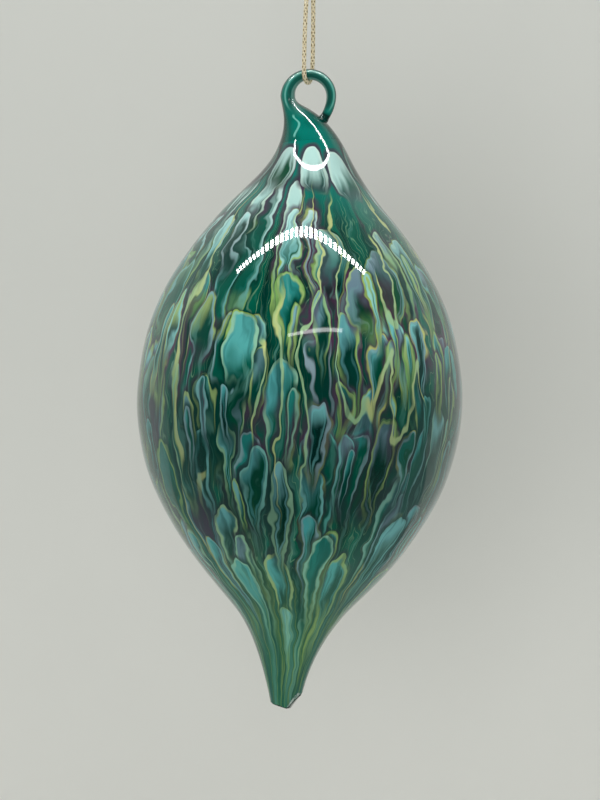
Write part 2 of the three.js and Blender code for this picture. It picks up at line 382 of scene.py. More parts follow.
# Where each effect shows: two values of what it follows, then its strength at each, or 0 and 1
RANGES = {
    # levels on the glass in mm
    "pull above the tip": (-150, -112, 0.5, 1),
    "pull below the neck": (-44, -62, 0.25, 1),
    "bare neck": (-62, -46),
    "pale neck": (-74, -46, 0, 0.9),
    "clear foot": (-54, -43),
    "lime below the neck": (-46, -56),
    "lime above the tip": (-108, -92, 0.55, 1),
    "plum": (-116, -106, 0.35, 1),
    "veins above the tip": (-132, -106),
    "strokes": (-50, -64),
    "shade under the belly": (-86, -102, 0, 0.42),
    "shade above the tip": (-140, -122),
    "calm tip": (-124, -160, 0, 0.66),
    # values of noise
    "lime patch": (0.43, 0.63),
    "plum patch": (0.45, 0.55),
    "ground line": (0.1, 0.02),
    "ground lines": (0.36, 0.5, 0.15, 0.6),
    "vein patch": (0.49, 0.56),
    "vein": (0.015, 0.006),
    "near side of a band": (0.006, 0.016),
    "far side of a band": (0.075, 0.035),
    "dark stroke": (0.52, 0.64, 0, 0.4),
    "pale stroke": (0.46, 0.34, 0, 0.22),
    "cloud": (0.42, 0.62),
    "shell crest": (0.4, 0.65),
    "painted gold glint": (0.5, 0.64, 0, 0.7),
    "gold roughness": (0.3, 0.7, 0.25, 0.5),
    # a streak or a lime patch, with the chip's own random number added
    "nested chip": (0.9, 1.1, 0, 0.5),
    "limed chip": (0.73, 1.15),
    # mm inside a chip's edge, negative outside it
    "contour and shadow edge": (-1.5, -0.2),
    "lime edge": (-0.2, 0.15),
    "chip edge": (-0.12, 0.1),
    "nested start": (0.75, 0.95),
    "nested end": (1.35, 1.1),
    # shares of a chip's length
    "contour and shadow end": (1, 0.7, 0, 0.8),
    "lime start": (0.0, 0.05),
    "lime end": (0.98, 0.72),
    "outline end": (1.0, 0.35, 0.15, 0.9),
    "chip end": (1.0, 0.55),
    # across the hook's rod, from -1 at the eye to 1 outside
    "rod": (-1.6, -1.1),
    "painted shade, eye side": (-0.78, -0.5),
    "painted shade, outer side": (0.3, 0.0),
    "milky_painted_refraction": (-0.5, -0.72),
    "painted highlight, eye side": (0.3, 0.42),
    "painted highlight, outer side": (0.72, 0.58),
    # how far the surface turns away from the viewer, and the height of a braided thread
    "painted edge reflection": (0.2, 0.65, 0, 0.08),
    "gold thread": (0.25, 0.8),
}

# Smaller colours of the pieces, from display values
SHADES = {
    "ground line": linear((120, 168, 130)),
    "pale outline": linear((218, 250, 242)),
    "dark band": linear((0, 44, 36)),
    "plum band": linear((68, 42, 64)),
    "dark stroke": linear((0, 62, 54)),
    "pale stroke": linear((120, 190, 176)),
    "painted belly shade": linear((0, 44, 40)),
    "painted edge reflection": linear((130, 196, 196)),
    "painted bead shade": linear((0, 30, 24)),
    "painted rod shade": linear((0, 76, 66)),
    "painted rod refraction": linear((124, 160, 152)),
    "painted rod highlight": linear((150, 226, 212)),
    "painted reflection mint": linear((140, 232, 216)),
    "painted gold glint": linear((255, 250, 228)),
    "roller marks": linear((190, 192, 186)),
}


def chosen(name):
    """A colour from the panel, as a shader takes it."""
    return (*getattr(settings("colours"), name), 1)


class Wiring:
    """Adds nodes to a tree. Every value may be a number, a colour or another node's output."""

    def __init__(self, tree):
        self.tree = tree

    def put(self, socket, value):
        if isinstance(value, bpy.types.NodeSocket):
            self.tree.links.new(value, socket)
        elif isinstance(value, (int, float)) and hasattr(socket.default_value, "__len__"):
            socket.default_value = [value] * len(socket.default_value)
        else:
            socket.default_value = value

    def node(self, kind, inputs=(), **options):
        made = self.tree.nodes.new(kind)
        for name, value in options.items():
            setattr(made, name, value)
        for key, value in dict(inputs).items():
            self.put(made.inputs[key], value)
        return made

    def group(self, name, inputs):
        """Places a node group that was built before, and gives what comes out of it."""
        return self.node("ShaderNodeGroup", inputs, node_tree=bpy.data.node_groups[name]).outputs

    def place(self):
        return self.node("ShaderNodeTexCoord").outputs["Object"]

    def facing(self):
        """0 where the surface faces the viewer and 1 where it turns away."""
        return self.node("ShaderNodeLayerWeight", {"Blend": 0.5}).outputs["Facing"]

    def math(self, operation, *values):
        return self.node("ShaderNodeMath", enumerate(values), operation=operation).outputs[0]

    def plus(self, a, b):
        return self.math("ADD", a, b)

    def minus(self, a, b):
        return self.math("SUBTRACT", a, b)

    def times(self, a, b):
        return self.math("MULTIPLY", a, b)

    def over(self, a, b):
        return self.math("DIVIDE", a, b)

    def times_plus(self, a, b, c):
        """a times b, plus c."""
        return self.math("MULTIPLY_ADD", a, b, c)

    def fraction(self, a):
        return self.math("FRACT", a)

    def length(self, a, b):
        """Length of a vector with the sides a and b."""
        return self.math("SQRT", self.times_plus(a, a, self.times(b, b)))

    def vector(self, x, y, z):
        return self.node("ShaderNodeCombineXYZ", {"X": x, "Y": y, "Z": z}).outputs[0]

    def parts(self, value):
        made = self.node("ShaderNodeSeparateXYZ", {0: value})
        return made.outputs["X"], made.outputs["Y"], made.outputs["Z"]

    def mix(self, factor, a, b, blend="MIX"):
        made = self.node("ShaderNodeMix", {0: factor, 6: a, 7: b}, data_type="RGBA", blend_type=blend)
        return made.outputs[2]

    def ease(self, value, low, high, start=0.0, end=1.0):
        """Rises smoothly from start to end as value goes from low to high."""
        made = self.node(
            "ShaderNodeMapRange",
            {"Value": value, "From Min": low, "From Max": high, "To Min": start, "To Max": end},
            interpolation_type="SMOOTHSTEP",
        )
        return made.outputs["Result"]

    def shown(self, value, name):
        """How strongly an effect of the table shows at a value."""
        return self.ease(value, *RANGES[name])

    def ramp(self, factor, stops):
        made = self.node("ShaderNodeValToRGB", {"Fac": factor})
        points = made.color_ramp.elements
        points[0].position, points[0].color = stops[0][0], linear(stops[0][1])
        points[1].position, points[1].color = stops[-1][0], linear(stops[-1][1])
        for place, display in stops[1:-1]:
            points.new(place).color = linear(display)
        return made.outputs["Color"]

    def noise(self, where, scale, detail=2, roughness=0.5):
        """Soft noise: the value "Fac" and three separate values in "Color"."""
        inputs = {"Vector": where, "Scale": scale, "Detail": detail, "Roughness": roughness}
        return self.node("ShaderNodeTexNoise", inputs).outputs

    def random(self, vector):
        return self.node("ShaderNodeTexWhiteNoise", {"Vector": vector}, noise_dimensions="3D").outputs


def floats(*labels):
    return dict.fromkeys(labels, "Float")


def new_group(name, inputs, outputs):
    """An empty node group with named sockets: its wiring, what comes in and what goes out."""
    group = bpy.data.node_groups.new(name, "ShaderNodeTree")
    for sockets, way in ((inputs, "INPUT"), (outputs, "OUTPUT")):
        for label, kind in sockets.items():
            group.interface.new_socket(label, in_out=way, socket_type="NodeSocket" + kind)
    w = Wiring(group)
    return w, w.node("NodeGroupInput").outputs, w.node("NodeGroupOutput").inputs


FLOW = ("Turns", "Down", "Around", "Level")

# How heat pulled the glass about: scale of the wander per metre, mm sideways, mm down
PULLS = ((55, 9, 10), (170, 5.5, 8), (430, 2, 3))
PULL_STRETCH = 0.45  # under 1 the wander is drawn out up and down
LEAST_RADIUS = 3  # mm, so that nothing is divided by a width of nothing on the axis


def flow_group():
    """Where a point lies on the glass: turns round the axis, mm down and mm round, pulled about by heat."""
    w, given, result = new_group("Flow of the glass", {"Place": "Vector"}, floats(*FLOW))
    x, y, z = w.parts(given["Place"])
    turns = w.over(w.math("ARCTAN2", x, w.times(y, -1)), TAU)
    radius = w.math("SQRT", w.plus(w.times(x, x), w.times(y, y)))
    around = w.times(w.math("MAXIMUM", w.over(radius, MM), LEAST_RADIUS), TAU)
    level = w.over(z, MM)
    drawn_out = w.vector(x, y, w.times(z, PULL_STRETCH))
    pull = w.times(w.shown(level, "pull above the tip"), w.shown(level, "pull below the neck"))
    side, fall = 0.0, 0.0
    for scale, side_reach, fall_reach in PULLS:
        sideways, downwards, _ = w.parts(w.noise(drawn_out, scale, 1)["Color"])
        side = w.times_plus(w.minus(sideways, 0.5), side_reach, side)
        fall = w.times_plus(w.minus(downwards, 0.5), fall_reach, fall)
    warped = w.times_plus(w.over(side, around), pull, turns)
    down = w.minus(w.times(fall, pull), level)
    for label, value in zip(FLOW, (warped, down, around, level)):
        w.put(result[label], value)


CHIP_PLACE = ("Turns", "Down", "Around")
CHIP_VALUES = ("Columns", "Length", "Seed", "Share", "Width", "First", "Last", "Scatter", "Offset")
CHIP_RESULTS = ("Inside", "Along", "Side", "Pick", "There")

# A chip in its place in the grid, in shares of the place's width or length
CHIP_HALF = 0.22  # half width of the narrowest chip
CHIP_HALF_MORE = 0.15  # added for the widest chip
CHIP_SHIFT = 0.16
CHIP_LEAN = 0.2
CHIP_TOP = 0.07
CHIP_BOTTOM = 0.91
DOME = 1.9  # length of the round top, in half widths
DOME_MOST = 0.45
TAPER_POWER = 1.7
LEAST_REACH = 0.01
LEAST_SLOPE = 0.05
# A random number times one of these makes another after the decimal point
PICK_FACTOR, SECOND_FACTOR, THIRD_FACTOR = 37.7, 7.9, 23.1


def chips_group():
    """One layer of melted chips: long drops with round tops and drawn tails, in columns round the axis.

    Inside is the distance from the chip's edge in mm, Along and Side tell where a point lies on the chip,
    Pick is the chip's own random number, and There tells whether its place holds a chip."""
    w, given, result = new_group("Drawn chips", floats(*CHIP_PLACE, *CHIP_VALUES), floats(*CHIP_RESULTS))
    turns, down, around = (given[label] for label in CHIP_PLACE)
    columns, length, seed = given["Columns"], given["Length"], given["Seed"]
    # the place in the grid
    wide = w.times_plus(turns, columns, given["Offset"])
    column = w.math("FLOOR", wide)
    within = w.minus(w.minus(wide, column), 0.5)
    column = w.math("FLOORED_MODULO", column, columns)
    stagger = w.times(w.random(w.vector(column, seed, 0.5))["Value"], given["Scatter"])
    rows = w.plus(w.over(down, length), stagger)
    row = w.math("FLOOR", rows)
    along = w.minus(rows, row)
    first = w.times(w.minus(row, stagger), length)
    # the chip's own shape
    drawn = w.random(w.vector(column, row, seed))
    red, green, blue = w.parts(drawn["Color"])
    cell = w.over(around, columns)
    half = w.times(given["Width"], w.times_plus(red, CHIP_HALF_MORE, CHIP_HALF))
    lean = w.times(w.minus(blue, 0.5), w.times(along, CHIP_LEAN))
    across = w.minus(within, w.times_plus(w.minus(green, 0.5), CHIP_SHIFT, lean))
    dome = w.times(w.times(half, cell), DOME)
    cap = w.math("MINIMUM", w.over(dome, length), DOME_MOST)
    start = w.minus(along, CHIP_TOP)
    above = w.math("MAXIMUM", w.over(w.minus(cap, start), cap), 0)
    below = w.over(w.minus(start, cap), w.minus(CHIP_BOTTOM, cap))
    taper = w.minus(1, w.math("POWER", w.math("MAXIMUM", below, 0), TAPER_POWER))
    reach = w.math("MAXIMUM", w.times(half, taper), LEAST_REACH)
    side = w.over(across, reach)
    far = w.length(side, above)
    # how fast that changes over the glass, so that lines keep their width in mm
    steep = w.length(w.over(side, w.times(reach, cell)), w.over(above, w.times(cap, length)))
    slope = w.over(steep, w.math("MAXIMUM", far, LEAST_SLOPE))
    inside = w.over(w.minus(1, far), w.math("MAXIMUM", slope, LEAST_SLOPE))
    pick = w.fraction(w.times(drawn["Value"], PICK_FACTOR))
    after_first = w.math("GREATER_THAN", first, given["First"])
    before_last = w.math("LESS_THAN", first, given["Last"])
    filled = w.math("LESS_THAN", drawn["Value"], given["Share"])
    there = w.times(filled, w.times(after_first, before_last))
    for label, value in zip(CHIP_RESULTS, (inside, along, side, pick, there)):
        w.put(result[label], value)


def new_material(name, kind="ShaderNodeBsdfPrincipled"):
    """A material with one shader: the material, its wiring and the shader."""
    made = bpy.data.materials.new(name)
    made.use_nodes = True
    made.node_tree.nodes.clear()
    w = Wiring(made.node_tree)
    shader = w.node(kind)
    w.node("ShaderNodeOutputMaterial", {"Surface": shader.outputs[0]})
    return made, w, shader


# One row for each layer of chips, from the lowest to the top one: columns, length in mm, seed, share of the
# places that are filled, width, mm down to the first and the last tops, scatter of the rows, offset of the
# columns, and how pale the tops are
CHIP_LAYERS = (
    (20, 42, 3.1, 0.95, 1.25, 40, 150, 17.3, 0, 0.15),
    (28, 30, 11.7, 0.85, 1.25, 52, 132, 17.3, 0, 0.35),
    (16, 24, 61.9, 0.85, 1.2, 42, 66, 17.3, 0, 0.8),
    (34, 26, 5.3, 0.65, 1.2, 66, 132, 17.3, 0, 0.35),
    (24, 20, 29.3, 0.62, 1.25, 52, 88, 17.3, 0, 0.7),
    (40, 17, 23.9, 0.4, 1.15, 78, 118, 17.3, 0, 0.45),
    (48, 22, 83.3, 0.3, 1.0, 62, 112, 17.3, 0, 0.3),
    (18, 28, 71.3, 0.7, 1.2, 112, 152, 17.3, 0, 0.5),
    (10, 13.7, 47.1, 1.0, 1.3, 36, 43, 0.25, 0.42, 1.0),
)

EDGE_SHADES = (
    (0.0, (255, 255, 255)),
    (0.45, (225, 225, 225)),
    (0.62, (120, 135, 130)),
    (0.85, (70, 100, 90)),
)
GROUND = ((0.3, (0, 32, 28)), (0.44, (0, 60, 48)), (0.54, (0, 86, 66)), (0.66, (6, 104, 84)))
TOPS = (
    (0.0, (146, 218, 220)),
    (0.2, (80, 172, 174)),
    (0.36, (10, 120, 110)),
    (0.5, (110, 198, 198)),
    (0.64, (122, 162, 174)),
    (0.76, (50, 152, 148)),
    (0.86, (0, 100, 88)),
    (1.0, (118, 140, 158)),
)
DEPTHS = (
    (0.0, (0, 86, 66)),
    (0.25, (0, 44, 36)),
    (0.45, (0, 92, 74)),
    (0.6, (0, 20, 18)),
    (0.72, (0, 76, 50)),
    (0.84, (10, 78, 40)),
    (0.93, (68, 38, 66)),
    (1.0, (56, 30, 54)),
)
LIMES = ((0.0, (164, 190, 98)), (0.4, (104, 160, 92)), (0.7, (194, 200, 122)), (1.0, (72, 136, 88)))
LINES = (
    (0.0, (146, 216, 218)),
    (0.25, (148, 182, 104)),
    (0.45, (166, 190, 124)),
    (0.6, (118, 190, 188)),
    (0.8, (142, 160, 172)),
    (1.0, (92, 182, 172)),
)
VEINS = ((0.5, (140, 184, 108)), (0.58, (200, 208, 138)), (0.66, (160, 198, 148)))
SAGE = (
    (0.3, (20, 84, 74)),
    (0.45, (64, 118, 90)),
    (0.5, (120, 158, 94)),
    (0.54, (62, 118, 92)),
    (0.68, (84, 144, 124)),
)

# How a chip is painted
LIME_CHANCE = 0.6  # how much its own random number adds to the lime patch it lies in
LIME_TOPS = 0.45  # share of the limed chips that have a lime top too
LIME_REACH = (-1.7, 0.5)  # mm inside its edge where the lime ends: for a whole streak more, and for none
OUTLINE_WIDTH = (1.9, -0.45)  # mm of outline: for a whole streak more, and for none
OUTLINE_MORE, OUTLINE_FULL = 0.3, 0.6  # mm past that width where it is gone, and share of it still at full
FADE_SIDE, FADE_STREAK, FADE_CHANCE = 0.14, 0.7, 0.3  # what bends the line where the pale top ends
FADE_START, FADE_END = (0.05, 0.2), (0.2, 0.5)  # shares of its length, and what a pale top adds to them


def chip_fill(w, chip, picks, looks, limed, paleness):
    """The glass of a chip: pale round top, deep below, a pale outline and a fainter line inside it."""
    inside, along, side = chip
    pick, second, third = picks
    streak, neck = looks
    lime_top = w.times(limed, w.math("LESS_THAN", second, LIME_TOPS))
    top = w.mix(lime_top, w.ramp(pick, TOPS), w.ramp(third, LIMES))
    top = w.mix(neck, top, chosen("neck"))
    fade = w.times_plus(side, FADE_SIDE, w.times_plus(w.minus(streak, 0.5), FADE_STREAK, along))
    fade = w.times_plus(w.minus(third, 0.5), FADE_CHANCE, fade)
    fade = w.ease(fade, *(least + more * paleness for least, more in (FADE_START, FADE_END)))
    fill = w.mix(fade, top, w.ramp(second, DEPTHS))
    nested = w.times(w.shown(inside, "nested start"), w.shown(inside, "nested end"))
    fill = w.mix(w.times(nested, w.shown(w.plus(streak, second), "nested chip")), fill, top)
    width = w.times_plus(streak, *OUTLINE_WIDTH)
    outline = w.ease(inside, w.plus(width, OUTLINE_MORE), w.times(width, OUTLINE_FULL))
    outline = w.times(outline, w.shown(along, "outline end"))
    return w.mix(outline, fill, w.mix(neck, w.ramp(third, LINES), SHADES["pale outline"]))


def chip_layer(w, colour, flow, noises, row):
    """Paints one layer of chips over the colour below it."""
    lime_patch, plum_patch, streak, neck = noises
    *values, paleness = row
    chips = w.group("Drawn chips", zip(CHIP_PLACE + CHIP_VALUES, (*flow, *values)))
    inside, along, side, pick, there = (chips[label] for label in CHIP_RESULTS)
    second, third = (w.fraction(w.times(pick, factor)) for factor in (SECOND_FACTOR, THIRD_FACTOR))
    # a dark contour round the chip, with painted shadow of the chip on the layer below, then on some chips a
    # lime vein outside their edge
    seam = w.times(w.shown(inside, "contour and shadow edge"), w.times(there, w.shown(along, "contour and shadow end")))
    colour = w.mix(seam, colour, w.mix(plum_patch, chosen("seam"), chosen("plum")))
    limed = w.times(w.shown(w.plus(lime_patch, w.times(second, LIME_CHANCE)), "limed chip"), there)
    limed = w.times(limed, w.times(w.shown(along, "lime start"), w.shown(along, "lime end")))
    vein = w.shown(w.minus(inside, w.times_plus(streak, *LIME_REACH)), "lime edge")
    colour = w.mix(w.times(vein, limed), colour, w.ramp(third, LIMES))
    fill = chip_fill(w, (inside, along, side), (pick, second, third), (streak, neck), limed, paleness)
    covered = w.times(w.shown(inside, "chip edge"), w.times(there, w.shown(along, "chip end")))
    return w.mix(covered, colour, fill)


# Noise drawn out down the glass: waves to a turn, waves to a mm, seed, detail and roughness
DRAWN = {
    "streaks": (44, 0.03, 0, 2, 0.5),
    "long veins": (22, 0.02, 9, 1, 0.4),
    "strokes": (120, 0.07, 5, 2, 0.55),
    "tip threads": (36, 0.02, 3, 1, 0.5),
}
GROUND_LINES = 15  # from the darkest streak to the palest
VEIN_STRENGTH, BAND_STRENGTH = 0.9, 0.7


def drawn_noise(w, flow, name):
    turns, down = flow
    per_turn, per_mm, seed, detail, roughness = DRAWN[name]
    where = w.vector(w.times(turns, per_turn), w.times(down, per_mm), seed)
    return w.noise(where, 1.0, detail, roughness)


def ground(w, streak):
    """The deep green under the chips, with fine drawn lines."""
    off = w.math("ABSOLUTE", w.minus(w.fraction(w.times(streak, GROUND_LINES)), 0.5))
    lines = w.times(w.shown(off, "ground line"), w.shown(streak, "ground lines"))
    return w.mix(lines, w.ramp(streak, GROUND), SHADES["ground line"])


def long_veins(w, colour, flow, level, plum_patch):
    """Long lime veins drawn down the glass, each with a dark or plum band on one side."""
    wander, patch, _ = w.parts(drawn_noise(w, flow, "long veins")["Color"])
    off = w.minus(wander, 0.5)
    zone = w.times(w.shown(level, "lime below the neck"), w.shown(level, "veins above the tip"))
    there = w.times(w.shown(patch, "vein patch"), zone)
    band = w.times(w.shown(off, "near side of a band"), w.shown(off, "far side of a band"))
    band_colour = w.mix(plum_patch, SHADES["dark band"], SHADES["plum band"])
    colour = w.mix(w.times(band, w.times(there, BAND_STRENGTH)), colour, band_colour)
    line = w.shown(w.math("ABSOLUTE", off), "vein")
    return w.mix(w.times(line, w.times(there, VEIN_STRENGTH)), colour, w.ramp(patch, VEINS))


def strokes(w, colour, flow, level):
    """Fine dark and pale strokes, drawn down over everything below the neck."""
    stroke = drawn_noise(w, flow, "strokes")["Fac"]
    there = w.shown(level, "strokes")
    for name in ("dark stroke", "pale stroke"):
        colour = w.mix(w.times(w.shown(stroke, name), there), colour, SHADES[name])
    return colour


def calm_tip(w, colour, flow, level):
    """Painted shade darkens the glass under the belly, and near the tip it calms down to drawn sage threads.
    """
    belly = w.times(w.shown(level, "shade under the belly"), w.shown(level, "shade above the tip"))
    colour = w.mix(belly, colour, SHADES["painted belly shade"])
    threads = drawn_noise(w, flow, "tip threads")["Fac"]
    return w.mix(w.shown(level, "calm tip"), colour, w.ramp(threads, SAGE))


PATCH_SCALE = 42  # of the lime and plum patches
TRACE = 1e-6  # too little of a colour to see


def marbling(w):
    """The colour of the marbled glass, painted from the deepest layer of chips up."""
    place = w.place()
    glass = w.group("Flow of the glass", {"Place": place})
    turns, down, around, level = (glass[label] for label in FLOW)
    flow = (turns, down)
    streak = drawn_noise(w, flow, "streaks")["Fac"]
    colour = w.mix(w.shown(level, "bare neck"), ground(w, streak), chosen("foot"))
    red, green, _ = w.parts(w.noise(place, PATCH_SCALE, 1)["Color"])
    lime_zone = w.times(w.shown(level, "lime above the tip"), w.shown(level, "lime below the neck"))
    lime_patch = w.times(w.shown(red, "lime patch"), lime_zone)
    plum_patch = w.times(w.shown(green, "plum patch"), w.shown(level, "plum"))
    noises = (lime_patch, plum_patch, streak, w.shown(level, "pale neck"))
    where = w.vector(turns, down, around)
    for row in CHIP_LAYERS:
        # a trace of the colour below makes the shader work the layers out one by one, in less memory
        inputs = {0: colour, 1: (TRACE,) * 3, 2: where}
        trace = w.node("ShaderNodeVectorMath", inputs, operation="MULTIPLY_ADD")
        colour = chip_layer(w, colour, w.parts(trace.outputs[0]), noises, row)
    colour = long_veins(w, colour, flow, level, plum_patch)
    colour = strokes(w, colour, flow, level)
    colour = calm_tip(w, colour, flow, level)
    facing = w.facing()
    # painted reflection: the glass turns paler aqua where it turns away from the viewer
    colour = w.mix(w.shown(facing, "painted edge reflection"), colour, SHADES["painted edge reflection"])
    # the clear foot round the neck takes the painted edge shade of clear glass
    return w.mix(w.shown(level, "clear foot"), colour, edge_shaded(w, colour, facing))


def edge_group():
    """Painted shade: how much darker clear glass is where it curves away."""
    w, given, result = new_group("Edge shade", floats("Facing"), {"Color": "Color"})
    w.put(result["Color"], w.ramp(given["Facing"], EDGE_SHADES))


def edge_shaded(w, colour, facing):
    return w.mix(1.0, colour, w.group("Edge shade", {"Facing": facing})["Color"], "MULTIPLY")


def marbled_glass():
    made, w, shader = new_material("Marbled glass")
    w.put(shader.inputs["Base Color"], marbling(w))
    shader.inputs["Roughness"].default_value = 0.04
    shader.inputs["IOR"].default_value = 1.52
    return made


def clear_glass():
    """Clear teal glass, light in the middle of the rod and dark near its edges as painted shade, with
    painted highlights on it.
    """
    made, w, shader = new_material("Clear teal glass")
    hook, at = settings("hook"), levels()
    place = w.place()
    cloud = w.noise(place, 120, 1)["Fac"]
    teal = w.mix(w.shown(cloud, "cloud"), chosen("teal"), chosen("cloud"))
    colour = edge_shaded(w, teal, w.facing())
    colour = rod_painted_light(w, colour, place, hook, at)
    colour = painted_reflection_line(w, colour, place, at)
    colour = bead_painted_shade(w, colour, place, hook)
    w.put(shader.inputs["Base Color"], colour)
    shader.inputs["Roughness"].default_value = 0.03
    shader.inputs["IOR"].default_value = 1.5
    shader.inputs["Transmission Weight"].default_value = 0.35
    # only the ring has a coat, for a soft second gloss
    _, _, height = w.parts(place)
    none, full = at["eye_centre"] - 6 * MM, at["eye_centre"] - 1 * MM
    w.put(shader.inputs["Coat Weight"], w.ease(height, none, full))
    shader.inputs["Coat Roughness"].default_value = 0.3
    return made


def bead_painted_shade(w, colour, place, hook):
    """Painted shade in the crease where the rod's end melted onto its shoulder."""
    edge = lean_edge(1)[round(hook.bead_place * LEAN_STEPS)]
    middle = (edge.x + 0.0004, 0, edge.y + 0.0004)
    away = w.node("ShaderNodeVectorMath", {0: place, 1: middle}, operation="DISTANCE").outputs["Value"]
    dark = w.ease(away, hook.bead * 0.75, hook.bead * 0.45)
    return w.mix(w.times(dark, 0.9), colour, SHADES["painted bead shade"])


def rod_painted_light(w, colour, place, hook, at):
    """Painted light drawn along the rod: a milk-white painted refraction at the eye's inner edge, then deep
    painted shade, and a mint painted highlight further out.
    """
    x, _, z = w.parts(place)
    x = w.minus(x, hook.eye_shift)
    z = w.minus(z, at["eye_centre"])
    path, half = eye_path(hook), hook.rod / 2
    # -1 at the rod's inner edge and 1 at its outer edge
    offset = w.over(w.minus(w.length(x, z), path), half)
    on_rod = w.times(w.shown(offset, "rod"), w.ease(z, -half * 3.2, -half * 1.2))
    # deep teal painted shade on the eye side of the rod's middle
    deep = w.times(w.shown(offset, "painted shade, outer side"), w.shown(offset, "painted shade, eye side"))
    colour = w.mix(w.times(deep, w.times(on_rod, 0.8)), colour, SHADES["painted rod shade"])
    # milk-white painted refraction at the eye's inner edge
    milky_painted_refraction = w.times(w.shown(offset, "milky_painted_refraction"), w.times(on_rod, 0.7))
    colour = w.mix(milky_painted_refraction, colour, SHADES["painted rod refraction"])
    # mint painted highlight on the outer side of the rod
    mint = w.times(w.shown(offset, "painted highlight, eye side"), w.shown(offset, "painted highlight, outer side"))
    return w.mix(w.times(mint, w.times(on_rod, 0.6)), colour, SHADES["painted rod highlight"])


def painted_reflection_line(w, colour, place, at):
    """A thin painted mint reflection line down the front of the leaning stem."""
    x, y, z = w.parts(place)
    top, bend, low = (at["eye_centre"] - drop * MM for drop in (5, 6.8, 9.9))
    bulge = w.times(w.ease(z, top, bend), w.ease(z, low, bend - 0.0002, 0.25, 1))
    off = w.minus(x, w.times_plus(bulge, 0.0014, -0.0033))
    line = w.times(w.ease(w.math("ABSOLUTE", off), 0.00036, 0.00012), w.math("LESS_THAN", y, 0))
    ends = w.times(w.ease(z, low - 0.0004, low + 0.0003), w.ease(z, top + 0.0006, top - 0.0002))
    return w.mix(w.times(line, w.times(ends, 0.9)), colour, SHADES["painted reflection mint"])


def shells_group():
    """Fine shell-like ripples of broken glass."""
    colours = {"Hollow": "Color", "Crest": "Color"}
    w, given, result = new_group("Broken shells", colours, {"Color": "Color", "Height": "Float"})
    shells = w.noise(w.place(), 900, 2, 0.6)["Fac"]
    w.put(result["Color"], w.mix(w.shown(shells, "shell crest"), given["Hollow"], given["Crest"]))
    w.put(result["Height"], shells)


def bumped(w, shader, height, strength, distance):
    bump = w.node("ShaderNodeBump", {"Height": height, "Strength": strength, "Distance": distance})
    w.put(shader.inputs["Normal"], bump.outputs[0])


def snapped_glass(name, hollow, crest):
    """Glass that snapped, with its broken shells in two shades."""
    made, w, shader = new_material(name)
    shells = w.group("Broken shells", {"Hollow": linear(hollow), "Crest": linear(crest)})
    w.put(shader.inputs["Base Color"], shells["Color"])
    shader.inputs["Roughness"].default_value = 0.12
    bumped(w, shader, shells["Height"], 0.5, 0.0003)
    return made


def gold_thread():
    """Metallic thread: pale gold on the threads, brown painted shade in the grooves, with fine painted
    glints.
    """
    made, w, shader = new_material("Gold thread")
    height = w.node("ShaderNodeAttribute", attribute_name="thread_height").outputs["Fac"]
    glint = w.noise(w.place(), 2600, 2, 0.6)["Fac"]
    # painted shade: brown in the grooves of the braid
    base = w.mix(w.shown(height, "gold thread"), chosen("cord_painted_groove_shade"), chosen("cord_gold"))
    # painted glints: pale specks of light where the noise is high
    gold = w.mix(w.shown(glint, "painted gold glint"), base, SHADES["painted gold glint"])
    w.put(shader.inputs["Base Color"], gold)
    w.put(shader.inputs["Roughness"], w.shown(glint, "gold roughness"))
    shader.inputs["Metallic"].default_value = 0.35
    bumped(w, shader, glint, 0.3, 0.0001)
    return made


def paint_group():
    """Matt paint with faint roller marks, and painted light that makes it a little lighter low on the wall.
    """
    w, given, result = new_group("Matt paint", {"Paint": "Color", "Paint with painted light": "Color"}, {"Color": "Color"})
    place = w.place()
    _, _, height = w.parts(place)
    # painted light: the wall turns paler towards the floor
    paint = w.mix(w.ease(height, -0.05, -0.23), given["Paint"], given["Paint with painted light"])
    marks = w.times(w.noise(place, 60)["Fac"], 0.06)
    w.put(result["Color"], w.mix(marks, paint, SHADES["roller marks"]))


def stage_paint(name, colour, painted_light_colour, one_sided):
    """Matt paint, lighter low down with painted light when the second colour is paler. A one-sided wall
    can't be seen from behind.
    """
    made, w, shader = new_material(name)
    paint = w.group("Matt paint", {"Paint": (*colour, 1), "Paint with painted light": (*painted_light_colour, 1)})
    w.put(shader.inputs["Base Color"], paint["Color"])
    shader.inputs["Roughness"].default_value = 0.9
    shader.inputs["Specular IOR Level"].default_value = 0.1
    if one_sided:
        surface = shader.outputs[0].links[0].to_socket
        clear = w.node("ShaderNodeBsdfTransparent")
        back = w.node("ShaderNodeNewGeometry").outputs["Backfacing"]
        both = w.node("ShaderNodeMixShader", {0: back, 1: shader.outputs[0], 2: clear.outputs[0]})
        w.put(surface, both.outputs[0])
    return made


# Stage


def flat_sheet(name, corners):
    made = placed(name, corners, [tuple(range(len(corners)))])
    return made


def lamp(name, place, aim, size, watts, reflected=True):
    """A soft square lamp at a place, aimed at a point."""
    light = bpy.data.lights.new(name, "AREA")
    light.shape = "RECTANGLE"
    light.size, light.size_y = size
    light.energy = watts
    made = bpy.data.objects.new(name, light)
    made.location = place
    made.rotation_euler = (Vector(aim) - Vector(place)).to_track_quat("-Z", "Y").to_euler()
    made.visible_glossy = reflected
    bpy.context.collection.objects.link(made)
    return made


